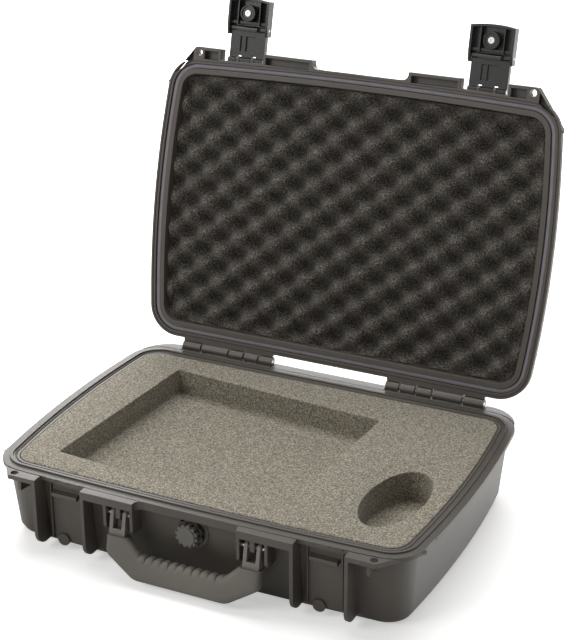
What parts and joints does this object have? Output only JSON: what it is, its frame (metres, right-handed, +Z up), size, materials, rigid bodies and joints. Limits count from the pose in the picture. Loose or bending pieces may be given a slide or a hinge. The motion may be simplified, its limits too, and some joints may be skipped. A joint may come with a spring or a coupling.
{
  "type": "laptop hard case",
  "caption": "Hard carrying case with a foam-lined base and hinged lid, draw latches, a folding handle and a purge valve, shown open.",
  "frame": {"origin": "middle of the base's flat underside", "axes": "+X along the width towards the right latch, -Y towards the handle side, +Z up"},
  "size_m": [0.4876, 0.481, 0.4899],
  "materials": {
    "shell": "moulded, fine texture",
    "gasket": "soft, matt",
    "steel": "bright, turned",
    "handle_core": "moulded",
    "grip": "matt, fine texture",
    "valve": "moulded",
    "seal": "smooth",
    "membrane": "matt",
    "latch": "half gloss",
    "base_foam": "open-cell foam, speckled",
    "lid_foam": "open-cell foam, speckled"
  },
  "bodies": {
    "base": {"base_shell": "shell", "base_foam_pad": "base_foam", "base_foam": "base_foam", "hinge_pin_left": "steel", "hinge_pin_right": "steel", "handle_pin_left": "steel", "handle_pin_right": "steel", "purge_valve_body": "valve", "purge_valve_seal": "seal", "purge_valve_nut": "shell", "purge_valve_membrane": "membrane"},
    "lid": {"lid_shell": "shell", "lid_gasket": "gasket", "lid_foam": "lid_foam", "latch_link_pin_left": "steel", "latch_link_pin_right": "steel"},
    "handle": {"handle_frame": "handle_core", "handle_grip": "grip"},
    "valve_knob": {"purge_valve_knob": "valve"},
    "latch_link_left": {"latch_link_left": "latch", "latch_cover_pin_left": "steel"},
    "latch_cover_left": {"latch_cover_left": "latch", "latch_button_spring_left": "steel"},
    "latch_button_left": {"latch_button_left": "latch", "latch_button_screw_left": "steel"},
    "latch_link_right": {"latch_link_right": "latch", "latch_cover_pin_right": "steel"},
    "latch_cover_right": {"latch_cover_right": "latch", "latch_button_spring_right": "steel"},
    "latch_button_right": {"latch_button_right": "latch", "latch_button_screw_right": "steel"}
  },
  "joints": [
    {"name": "lid_hinge", "type": "hinge", "parent": "base", "child": "lid", "pos_m": [0, 0.1736, 0.089], "axis": [1, 0, 0], "range_deg": [0, 103.36]},
    {"name": "handle_hinge", "type": "hinge", "parent": "base", "child": "handle", "pos_m": [0, -0.172, 0.068], "axis": [-1, 0, 0], "range_deg": [-10, 75]},
    {"name": "purge_valve_turn", "type": "hinge", "parent": "base", "child": "valve_knob", "pos_m": [0, -0.17, 0.061], "axis": [0, -1, 0], "range_deg": [0, 180]},
    {"name": "latch_link_hinge_left", "type": "hinge", "parent": "lid", "child": "latch_link_left", "pos_m": [-0.1457, 0.2614, 0.41976], "axis": [1, 0, 0], "range_deg": [0, 90]},
    {"name": "latch_cover_hinge_left", "type": "hinge", "parent": "latch_link_left", "child": "latch_cover_left", "pos_m": [-0.1457, 0.27167, 0.45433], "axis": [-1, 0, 0], "range_deg": [0, 30]},
    {"name": "latch_button_press_left", "type": "slide", "parent": "latch_cover_left", "child": "latch_button_left", "axis": [0, -0.9729, 0.2311], "range_m": [0, 0.002], "stiffness_N_per_m": 500, "springref_m": -0.002},
    {"name": "latch_link_hinge_right", "type": "hinge", "parent": "lid", "child": "latch_link_right", "pos_m": [0.1457, 0.2614, 0.41976], "axis": [1, 0, 0], "range_deg": [0, 90]},
    {"name": "latch_cover_hinge_right", "type": "hinge", "parent": "latch_link_right", "child": "latch_cover_right", "pos_m": [0.1457, 0.27167, 0.45433], "axis": [-1, 0, 0], "range_deg": [0, 30]},
    {"name": "latch_button_press_right", "type": "slide", "parent": "latch_cover_right", "child": "latch_button_right", "axis": [0, -0.9729, 0.2311], "range_m": [0, 0.002], "stiffness_N_per_m": 500, "springref_m": -0.002}
  ]
}
